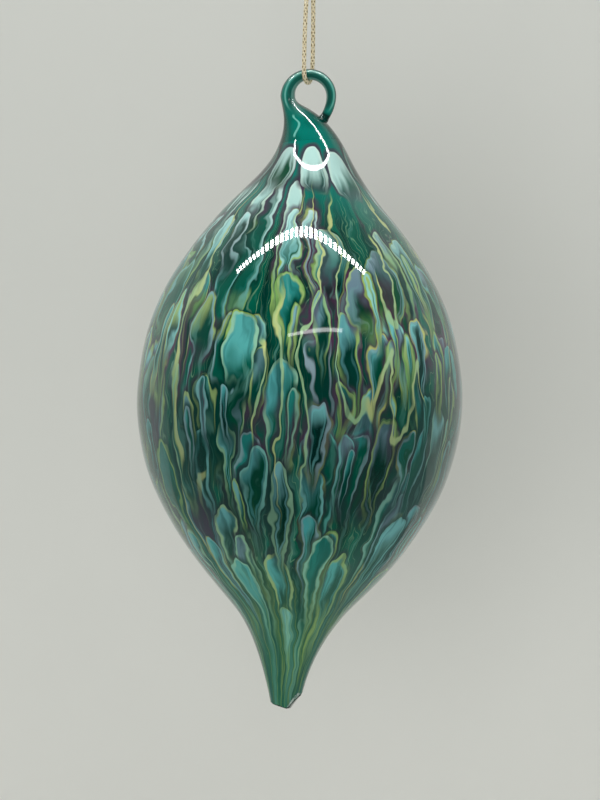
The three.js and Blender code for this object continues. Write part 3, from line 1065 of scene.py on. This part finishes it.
class ORNAMENT_OT_stage(bpy.types.Operator):
    """Camera, lamps, pale wall and floor"""

    bl_idname = "ornament.stage"
    bl_label = "Stage"

    def execute(self, context):
        stage = settings("stage")
        scene = context.scene
        scene.view_settings.view_transform = "Standard"
        self.camera(scene, stage)
        self.wall_and_floor(stage)
        self.lamps()
        self.surroundings(scene)
        return {"FINISHED"}

    def camera(self, scene, stage):
        picture_height, sensor = 800, 36
        middle_x, middle_z = 0.0001, -0.0989
        data = bpy.data.cameras.new("Camera")
        data.lens = sensor * stage.distance * stage.pixels_per_metre / picture_height
        data.clip_start, data.clip_end = 0.01, 20
        camera = bpy.data.objects.new("Camera", data)
        camera.location = (middle_x, -stage.distance, middle_z)
        camera.rotation_euler = (math.pi / 2, -stage.roll, 0)
        scene.collection.objects.link(camera)
        scene.camera = camera

    def wall_and_floor(self, stage):
        half, low, top = 0.7, -0.25, 0.6
        across = (-half, half, half, -half)
        upright, flat = zip(across, (low, low, top, top)), zip(across, (-half, -half, half, half))
        wall = flat_sheet("Wall", [(x, stage.wall_distance, z) for x, z in upright])
        wall.data.materials.append(stage_paint("Wall paint", stage.wall_colour, stage.low_wall_painted_light, True))
        floor = flat_sheet("Floor", [(x, y, low) for x, y in flat])
        floor.data.materials.append(stage_paint("Floor paint", stage.wall_colour, stage.wall_colour, False))
        floor.visible_glossy = False

    def lamps(self):
        middle = (0, 0, -0.09)
        lamp("Soft front lamp", (-0.14, -0.95, -0.17), middle, (0.42, 0.42), 3.75, reflected=False)
        lamp("Soft top lamp", (0, -0.35, 0.55), middle, (0.6, 0.4), 1.6, reflected=False)
        lamp("Low strip lamp", (0.13, -0.66, 0.345), middle, (0.52, 0.022), 0.3)
        count, left, length, depth, middle_y = 30, -0.347, 0.66, 0.026, -0.095
        pitch = length / count
        lit = 0.55 * pitch
        ribs = [(left + i * pitch, lit, middle_y - depth / 2, depth) for i in range(count)]
        self.glowing_card("Overhead light bar", ribs, height=0.3, strength=80)

    def glowing_card(self, name, patches, height, strength):
        """Bright patches overhead, seen only as reflections: left, width, front and depth of each."""
        points, faces = [], []
        for left, width, front, depth in patches:
            first, right, back = len(points), left + width, front + depth
            for x, y in ((left, front), (right, front), (right, back), (left, back)):
                points.append((x, y, height))
            faces.append((first, first + 3, first + 2, first + 1))
        card = placed(name, points, faces)
        glow, _, light = new_material(name + " glow", "ShaderNodeEmission")
        light.inputs["Strength"].default_value = strength
        card.data.materials.append(glow)
        card.visible_camera = card.visible_diffuse = card.visible_shadow = False

    def surroundings(self, scene):
        """A pale room, brighter overhead. Reflections see it darker, and the camera sees it as the wall."""
        world = bpy.data.worlds.new("Room")
        scene.world = world
        world.use_nodes = True
        world.node_tree.nodes.clear()
        w = Wiring(world.node_tree)
        rays = w.node("ShaderNodeLightPath").outputs
        _, back, up = w.parts(w.node("ShaderNodeTexCoord").outputs["Generated"])
        room = self.sky(w, (226, 228, 226), w.ease(up, -1, 1, 0.7, 0.6))
        dim = self.sky(w, (204, 214, 214), w.ease(back, -0.6, 0.25, 0.03, 0.34))
        seen = self.sky(w, (198, 200, 195), 1)
        lit = w.node("ShaderNodeMixShader", {0: rays["Is Glossy Ray"], 1: room, 2: dim}).outputs[0]
        both = w.node("ShaderNodeMixShader", {0: rays["Is Camera Ray"], 1: lit, 2: seen}).outputs[0]
        w.node("ShaderNodeOutputWorld", {"Surface": both})

    def sky(self, w, display, strength):
        return w.node("ShaderNodeBackground", {"Color": linear(display), "Strength": strength}).outputs[0]


# Cord and knot

# Route of the cord in metres, down in front of the eye's rod, under it and up behind
CORD_ROUTE = (
    (-0.00055, -0.00025, -0.0003),
    (-0.00072, -0.00042, -0.0022),
    (-0.00098, -0.00072, -0.005),
    (-0.00112, -0.0011, -0.009),
    (-0.00117, -0.0015, -0.0135),
    (-0.00116, -0.00192, -0.018),
    (-0.00112, -0.00224, -0.021),
    (-0.00105, -0.00222, -0.0227),
    (-0.00092, -0.00204, -0.0235),
    (-0.00072, -0.00154, -0.02418),
    (-0.00046, -0.00084, -0.02458),
    (-0.00015, 0.0, -0.02466),
    (0.00014, 0.00078, -0.0245),
    (0.0004, 0.00142, -0.02408),
    (0.00061, 0.00188, -0.02346),
    (0.00075, 0.00205, -0.0227),
    (0.00083, 0.00212, -0.021),
    (0.00084, 0.00188, -0.018),
    (0.00078, 0.0015, -0.0135),
    (0.0007, 0.0011, -0.009),
    (0.00058, 0.00072, -0.005),
    (0.00052, 0.00042, -0.0022),
    (0.0005, 0.00025, -0.0003),
)

# One strand through the knot, in shares of its height and its reach: up the middle, once round, and out
KNOT_TURN = (
    (-0.38, -0.18, -0.06),
    (-0.3, 0.0, 0.16),
    (-0.06, 0.36, 0.44),
    (0.55, 0.7, 0.74),
    (1.08, 0.02, 0.8),
    (0.86, -0.78, 0.66),
    (0.0, -1.1, 0.48),
    (-0.88, -0.74, 0.32),
    (-1.1, 0.1, 0.26),
    (-0.66, 0.92, 0.36),
    (0.22, 0.98, 0.54),
    (0.55, 0.3, 0.74),
    (0.42, -0.06, 0.98),
)

# The tails, past the knot: how far each point goes sideways and forwards, and its share of the tail's length
TAIL_POINTS = ((0.0007, 0.0003, 0.35), (0.0013, 0.0006, 0.7), (0.002, 0.001, 0.96))
CURVE_STEPS = 24  # between two points of a route
CORD_STEP, KNOT_STEP, LOOSE_STEP = 0.00015, 0.00022, 0.00012  # metres between rings of the mesh
BRAID_THREADS = 4  # each way round
OTHER_WAY = 0.85  # height of the threads that go the other way round
GROOVE, THREAD_RISE = 0.4, 0.12  # radius in the grooves, and what a thread adds, in diameters
KNOT_THICKNESS = 0.92  # the cord is pulled tighter there
LOOSE_THREADS = 7
LOOSE_SPREAD, LOOSE_THICKNESS = 0.28, 0.2  # in thicknesses of the tail
LOOSE_PITCH = LOOSE_START = 0.6 * MM


def curve_through(points, spacing):
    """A smooth line through the points, at nearly even steps, and its length."""
    knots = [Vector(p) for p in points]
    knots = [2 * knots[0] - knots[1], *knots, 2 * knots[-1] - knots[-2]]
    dense = []
    for i in range(1, len(knots) - 2):
        p0, p1, p2, p3 = knots[i - 1 : i + 3]
        d0, d1, d2 = (max((b - a).length ** 0.5, 1e-6) for a, b in ((p0, p1), (p1, p2), (p2, p3)))
        t1 = ((p1 - p0) / d0 - (p2 - p0) / (d0 + d1) + (p2 - p1) / d1) * d1
        t2 = ((p2 - p1) / d1 - (p3 - p1) / (d1 + d2) + (p3 - p2) / d2) * d1
        square = 3 * (p2 - p1) - 2 * t1 - t2
        cube = 2 * (p1 - p2) + t1 + t2
        for k in range(CURVE_STEPS):
            t = k / CURVE_STEPS
            dense.append(p1 + t1 * t + square * t**2 + cube * t**3)
    dense.append(knots[-2])
    lengths = [0.0]
    for a, b in zip(dense, dense[1:]):
        lengths.append(lengths[-1] + (b - a).length)
    count = max(round(lengths[-1] / spacing), 2)
    made, k = [], 0
    for i in range(count + 1):
        want = lengths[-1] * i / count
        while k < len(dense) - 2 and lengths[k + 1] < want:
            k += 1
        step = max(lengths[k + 1] - lengths[k], 1e-12)
        made.append(dense[k].lerp(dense[k + 1], min((want - lengths[k]) / step, 1)))
    return made, lengths[-1]


def braid_height(turn, along, pitch):
    """Height of the braid's surface: 0 in a groove and 1 on a thread of the first way round."""
    around, down = turn * BRAID_THREADS / TAU, along / pitch * BRAID_THREADS / 2
    one = math.sin(math.pi * (around + down)) ** 2
    other = math.sin(math.pi * (around - down)) ** 2
    return max(one, OTHER_WAY * other)


def braided_tube(line, diameter, pitch, sides=20):
    """Points, faces and thread heights of a braided cord along a line, with flat ends."""
    points, heights = [], []
    side = Vector((1, 0, 0))
    run = 0.0
    for i, at in enumerate(line):
        way = (line[min(i + 1, len(line) - 1)] - line[max(i - 1, 0)]).normalized()
        side = (side - way * side.dot(way)).normalized()
        up = way.cross(side)
        if i:
            run += (at - line[i - 1]).length
        for j in range(sides):
            turn = TAU * j / sides
            height = braid_height(turn, run, pitch)
            radius = diameter * (GROOVE + THREAD_RISE * height)
            points.append(at + (side * math.cos(turn) + up * math.sin(turn)) * radius)
            heights.append(height)
    faces = tube_faces(len(line), sides)
    last = (len(line) - 1) * sides
    faces.append(tuple(range(sides))[::-1])
    faces.append(tuple(last + j for j in range(sides)))
    return points, faces, heights


def thread_mesh(name, tubes):
    """One piece of braided tubes, with the height of the thread kept for its colour."""
    points, faces, heights = [], [], []
    for more_points, more_faces, more_heights in tubes:
        first = len(points)
        points += more_points
        faces += [tuple(first + v for v in face) for face in more_faces]
        heights += more_heights
    made = placed(name, points, faces)
    layer = made.data.attributes.new("thread_height", "FLOAT", "POINT")
    layer.data.foreach_set("value", heights)
    face_outwards(made)
    shade(made, 75)
    made.data.materials.append(bpy.data.materials.get("Gold thread") or gold_thread())
    return made


class ORNAMENT_OT_knot(bpy.types.Operator):
    """Overhand knot that ties the two ends of the cord, with its two tails"""

    bl_idname = "ornament.knot"
    bl_label = "Cord knot"

    def execute(self, context):
        cord = settings("cord")
        rng = random.Random(7)
        tubes = []
        thickness = KNOT_THICKNESS * cord.diameter
        for turned in (1, -1):
            strand = [
                (turned * x * cord.knot_reach, turned * y * cord.knot_reach, z * cord.knot_height)
                for x, y, z in KNOT_TURN
            ]
            for side, forward, share_up in TAIL_POINTS:
                strand.append((turned * side, -turned * forward, cord.knot_height + share_up * cord.tail))
            line, _ = curve_through(strand, KNOT_STEP)
            tubes.append(braided_tube(line, thickness, cord.braid_pitch, sides=14))
            tubes += self.frayed_end(line, thickness, rng)
        piece = thread_mesh("cord_knot_tied", tubes)
        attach(piece, "knot")
        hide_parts("cord_knot")
        return {"FINISHED"}

    def frayed_end(self, line, thickness, rng):
        """Loose threads that open out of the cut end of a tail."""
        end = line[-1]
        way = (line[-1] - line[-4]).normalized()
        made = []
        for k in range(LOOSE_THREADS):
            turn = TAU * k / LOOSE_THREADS + rng.uniform(-0.3, 0.3)
            out = Vector((math.cos(turn), math.sin(turn), 0)) * thickness * LOOSE_SPREAD
            bend = out * rng.uniform(0.6, 1.5)
            reach = rng.uniform(0.0007, 0.0013)
            start = end - way * LOOSE_START
            thread = [start + out, end + way * 0.4 * reach + out, end + way * reach + out + bend]
            fine, _ = curve_through(thread, LOOSE_STEP)
            made.append(braided_tube(fine, thickness * LOOSE_THICKNESS, LOOSE_PITCH, sides=6))
        return made


class ORNAMENT_OT_cord(bpy.types.Operator):
    """Thin braided cord, threaded once through the eye of the hook"""

    bl_idname = "ornament.cord"
    bl_label = "Cord"

    def execute(self, context):
        cord = settings("cord")
        line, length = curve_through(CORD_ROUTE, CORD_STEP)
        piece = thread_mesh("cord_braided", [braided_tube(line, cord.diameter, cord.braid_pitch)])
        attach(piece, "cord_loop")
        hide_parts("cord")
        return {"FINISHED"}


# Glass

EVEN_NECK, EVEN_TIP = 12 * MM, 20 * MM  # over these the wander of the surface dies away
BORE_HOLD = 6 * MM  # so far under the rim the bubble is nowhere narrower than the bore
RIM_STEP = 2.5 * MM
BROKEN_EDGE = 0.28 * MM
SKIN, SNAPPED, CHIPPED = 0, 1, 2  # places of the body's materials
SIDE_CHIP_RISE, SIDE_CHIP_TOP = 3.6 * MM, 6 * MM  # the chip's middle and its top, above the tip
SIDE_CHIP_WAY = (0.82, -0.57)  # from the tip's middle towards the front right
SIDE_CHIP_FACE = (-0.72, 0.5, 0.48)  # into the glass, square to the chip
BEAD_BLEND, BEAD_PASSES = 1.7, 6  # how far the melted bead is smoothed, in its own radius, and how often

# Waves of the hand-blown surface: share of its height, waves to a turn, phase per metre down, and phase
WAVES = ((0.5, 2, 310, 0.7), (0.3, 3, -190, 2.1), (0.2, 5, 430, 4.0))


def uneven(x, y, z, amount):
    """A slight wander of the hand-blown surface, as a change of radius."""
    turn = math.atan2(y, x)
    height = sum(part * math.sin(count * turn + rise * z + phase) for part, count, rise, phase in WAVES)
    return amount * height


class ORNAMENT_OT_body(bpy.types.Operator):
    """Hollow blown body with its marbled skin and snapped tip"""

    bl_idname = "ornament.body"
    bl_label = "Blown body"

    sides = 120

    def execute(self, context):
        body, hook, at = settings("body"), settings("hook"), levels()
        shoulder, taper, tip = outlines(22)
        rings = [self.ring(r, z) for r, z in self.bubble(shoulder, taper, at, body)]
        foot = lean_rings(0, hook.foot, self.sides)
        rings.append(narrowed(foot[-1], body.neck_bore / 2))
        rings += foot[::-1]
        for r, z in shoulder[1:] + taper[1:] + tip[1:]:
            rings.append(self.ring(r, z, body.unevenness))
        low = (axis_shift(at["tip"]), 0, at["tip"])
        bottom = (0, 0, at["tip"] + body.tip_solid)
        piece = skin("blown_body_glass", rings, bottom, low)
        piece.data.materials.append(marbled_glass())
        piece.data.materials.append(snapped_glass("Snapped glass", (6, 34, 26), (40, 84, 66)))
        # the chip's broken shells are painted pale as a glint on its facet
        piece.data.materials.append(snapped_glass("Chipped glass with painted glint", (104, 136, 126), (196, 212, 204)))
        self.snap(piece, body, at)
        shade(piece, 30)
        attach(piece, "glass")
        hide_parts("blown_body")
        return {"FINISHED"}

    def ring(self, radius, z, wander=0.0):
        shift = axis_shift(z)
        body, at = settings("body"), levels()
        fade = smoothstep(at["rim"] - z, 0, EVEN_NECK) * smoothstep(z - at["tip"], 0, EVEN_TIP)
        made = []
        for j in range(self.sides):
            turn = TAU * j / self.sides
            x, y = math.cos(turn), math.sin(turn)
            r = radius + uneven(x, y, z, wander) * fade
            made.append((shift + r * x, r * y, z))
        return made

    def bubble(self, shoulder, taper, at, body):
        """The inside of the bubble as (radius, level), from its round bottom up to the bore."""
        points = []
        for line, ends in ((shoulder, body.neck_wall), (taper, body.tip_wall)):
            for i in range(3, len(line), 3):
                t = i / (len(line) - 1)
                thick_share = (1 - t) ** 4 if line is shoulder else t**4
                thickness = body.wall + (ends - body.wall) * thick_share
                way = (line[i] - line[i - 1]).normalized()
                points.append(line[i] + Vector((way.y, -way.x)) * thickness)
        low = points[-1]
        bottom = at["tip"] + body.tip_solid
        turn = Vector((low.x - math.tan(body.root_flare) * (low.y - bottom), bottom))
        for i in range(1, 8):
            t = i / 8
            points.append(low * (1 - t) ** 2 + turn * (2 * t * (1 - t)) + Vector((0, bottom)) * t * t)
        bore = body.neck_bore / 2
        inside = [(max(r, bore) if z > at["rim"] - BORE_HOLD else r, z) for r, z in points]
        return inside[::-1] + [(bore, at["rim"] - RIM_STEP), (bore, at["rim"])]

    def snap(self, piece, body, at):
        """Cuts the tip off at a slant and chips its edge, with the broken faces in their own materials."""
        corner = Vector((body.snap_corner - body.tip_drift, 0, at["tip"]))
        with opened(piece) as shape:
            for angle in (body.snap_slant, -body.chip_slant):
                self.cut(shape, corner, angle)
            ends = [f for f in shape.faces if f.material_index == SNAPPED]
            edges = {e for f in ends for e in f.edges if any(g.material_index == SKIN for g in e.link_faces)}
            bmesh.ops.bevel(
                shape, geom=list(edges), offset=BROKEN_EDGE, segments=1, affect="EDGES", material=SNAPPED
            )
            self.side_chip(shape, body, at)
        face_outwards(piece)

    def cut(self, shape, corner, angle):
        """Cuts away what lies under a slanting plane through a corner, and closes the hole."""
        normal = Vector((math.sin(angle), 0, math.cos(angle)))
        everything = shape.verts[:] + shape.edges[:] + shape.faces[:]
        parted = bmesh.ops.bisect_plane(
            shape, geom=everything, plane_co=corner, plane_no=normal, clear_inner=True
        )
        rim = [e for e in parted["geom_cut"] if isinstance(e, bmesh.types.BMEdge)]
        filled = bmesh.ops.holes_fill(shape, edges=rim, sides=0)
        for face in filled["faces"]:
            face.material_index = SNAPPED

    def side_chip(self, shape, body, at):
        """Flattens a small chip on the front right of the tip; its pale colour is a painted glint."""
        inwards = Vector(SIDE_CHIP_FACE).normalized()
        reach = body.tip_diameter * 0.6
        right, forward = (reach * part for part in SIDE_CHIP_WAY)
        place = Vector((right - body.tip_drift, forward, at["tip"] + SIDE_CHIP_RISE))
        moved = set()
        for vert in shape.verts:
            depth = (vert.co - place).dot(inwards)
            if depth < 0 and vert.co.z < at["tip"] + SIDE_CHIP_TOP:
                vert.co -= inwards * depth
                moved.add(vert)
        for face in shape.faces:
            if face.material_index == SKIN and all(v in moved for v in face.verts):
                face.material_index = CHIPPED


class ORNAMENT_OT_hook(bpy.types.Operator):
    """Clear glass hook, curled round into the hanging eye and melted to its own shoulder"""

    bl_idname = "ornament.hook"
    bl_label = "Hook"

    sides = 120

    def execute(self, context):
        body, hook, at = settings("body"), settings("hook"), levels()
        lean = lean_rings(hook.foot, 1, self.sides)
        plug = body.neck_bore / 2 - hook.plug_gap
        # the hook's foot starts a hair above the body's skin, so that the two don't share a face
        lift = Vector((0, 0, 0.02 * MM))
        lean[0] = [tuple(Vector(p) + lift) for p in lean[0]]
        top = narrowed(lean[0], plug)
        low = circle(body.neck_shift, at["rim"] - hook.plug_depth, plug * 0.85, (0, 1), self.sides)
        pole = (body.neck_shift, 0, at["rim"] - hook.plug_depth - 0.0006)
        leg, end = self.leg(hook, at)
        rings = [low, top, *lean, *self.arc(hook, at)[1:], *leg[1:]]
        piece = skin("hook_glass", rings, pole)
        self.melt_bead(piece, end, hook.bead / 2)
        piece.data.materials.append(clear_glass())
        shade(piece, 50)
        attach(piece, "glass")
        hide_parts("hook")
        return {"FINISHED"}

    def arc(self, hook, at):
        path = eye_path(hook)
        start, top, end = hook.rod_root / 2, hook.rod / 2, (hook.rod + hook.rod_end) / 4
        made = []
        steps = 72
        for i in range(steps + 1):
            turn = (i / steps - 0.5) * math.pi
            before, after = max(0, 1 - 2 * i / steps), max(0, 2 * i / steps - 1)
            radius = top + (start - top) * before**1.5 + (end - top) * after
            x = hook.eye_shift + path * math.sin(turn)
            z = at["eye_centre"] + path * math.cos(turn)
            made.append(circle(x, z, radius, (math.cos(turn), -math.sin(turn)), self.sides))
        return made

    def leg(self, hook, at):
        """The last stretch of the rod, down to the shoulder, and where it ends."""
        inner = lean_edge(1)
        place = round(hook.bead_place * LEAN_STEPS)
        touch = inner[place]
        way = (inner[place + 1] - inner[place - 1]).normalized()
        end = touch + Vector((way.y, -way.x)) * 0.1 * MM
        side = Vector((hook.eye_shift + eye_path(hook), at["eye_centre"]))
        middle = Vector((side.x, (side.y + end.y) / 2))
        start, finish = (hook.rod + hook.rod_end) / 4, hook.rod_end / 2
        made = []
        steps = 30
        for i in range(steps + 1):
            t = i / steps
            at_t = side * (1 - t) ** 2 + middle * (2 * t * (1 - t)) + end * t * t
            along = (middle - side) * (1 - t) + (end - middle) * t
            radius = start * (1 - t) + finish * t
            made.append(circle(at_t.x, at_t.y, radius, tuple(along), self.sides))
        return made, end

    def melt_bead(self, piece, end, radius):
        """Joins the rod's end to the shoulder with a melted bead and smooths the crease round it."""
        bead = placed("bead", [], [])
        with opened(bead) as shape:
            bmesh.ops.create_icosphere(shape, subdivisions=4, radius=radius)
            bmesh.ops.translate(shape, verts=shape.verts, vec=(end.x, 0, end.y))
        join = piece.modifiers.new("Bead", "BOOLEAN")
        join.operation, join.solver, join.object = "UNION", "EXACT", bead
        join.use_self = True
        seen = piece.evaluated_get(bpy.context.evaluated_depsgraph_get())
        joined = bpy.data.meshes.new_from_object(seen)
        piece.modifiers.clear()
        piece.data = joined
        bpy.data.objects.remove(bead)
        middle = Vector((end.x, 0, end.y))
        with opened(piece) as shape:
            near = [v for v in shape.verts if (v.co - middle).length < BEAD_BLEND * radius]
            for _ in range(BEAD_PASSES):
                bmesh.ops.smooth_vert(
                    shape, verts=near, factor=0.5, use_axis_x=True, use_axis_y=True, use_axis_z=True
                )


class ORNAMENT_PT_panel(bpy.types.Panel):
    """Lists the pieces of the ornament"""

    bl_label = "Glass ornament"
    bl_idname = "ORNAMENT_PT_panel"
    bl_space_type = "VIEW_3D"
    bl_region_type = "UI"
    bl_category = "Ornament"

    def draw(self, context):
        for operator in OPERATORS:
            self.layout.operator(operator.bl_idname)
        for name, group in SIZE_GROUPS.items():
            box = self.layout.box()
            for label in group.__annotations__:
                box.prop(getattr(context.scene, name), label)


OPERATORS = (
    ORNAMENT_OT_stage,
    ORNAMENT_OT_knot,
    ORNAMENT_OT_cord,
    ORNAMENT_OT_body,
    ORNAMENT_OT_hook,
)


def register():
    for group in SIZE_GROUPS.values():
        bpy.utils.register_class(group)
    for name, group in SIZE_GROUPS.items():
        setattr(bpy.types.Scene, name, bpy.props.PointerProperty(type=group))
    for operator in OPERATORS:
        bpy.utils.register_class(operator)
    bpy.utils.register_class(ORNAMENT_PT_panel)


def unregister():
    bpy.utils.unregister_class(ORNAMENT_PT_panel)
    for operator in reversed(OPERATORS):
        bpy.utils.unregister_class(operator)
    for name in SIZE_GROUPS:
        delattr(bpy.types.Scene, name)
    for group in reversed(SIZE_GROUPS.values()):
        bpy.utils.unregister_class(group)


def main():
    register()
    for build_group in (flow_group, chips_group, edge_group, shells_group, paint_group):
        build_group()
    bpy.ops.ornament.stage()
    bpy.ops.ornament.knot()
    bpy.ops.ornament.cord()
    bpy.ops.ornament.body()
    bpy.ops.ornament.hook()


if __name__ == "__main__":
    main()
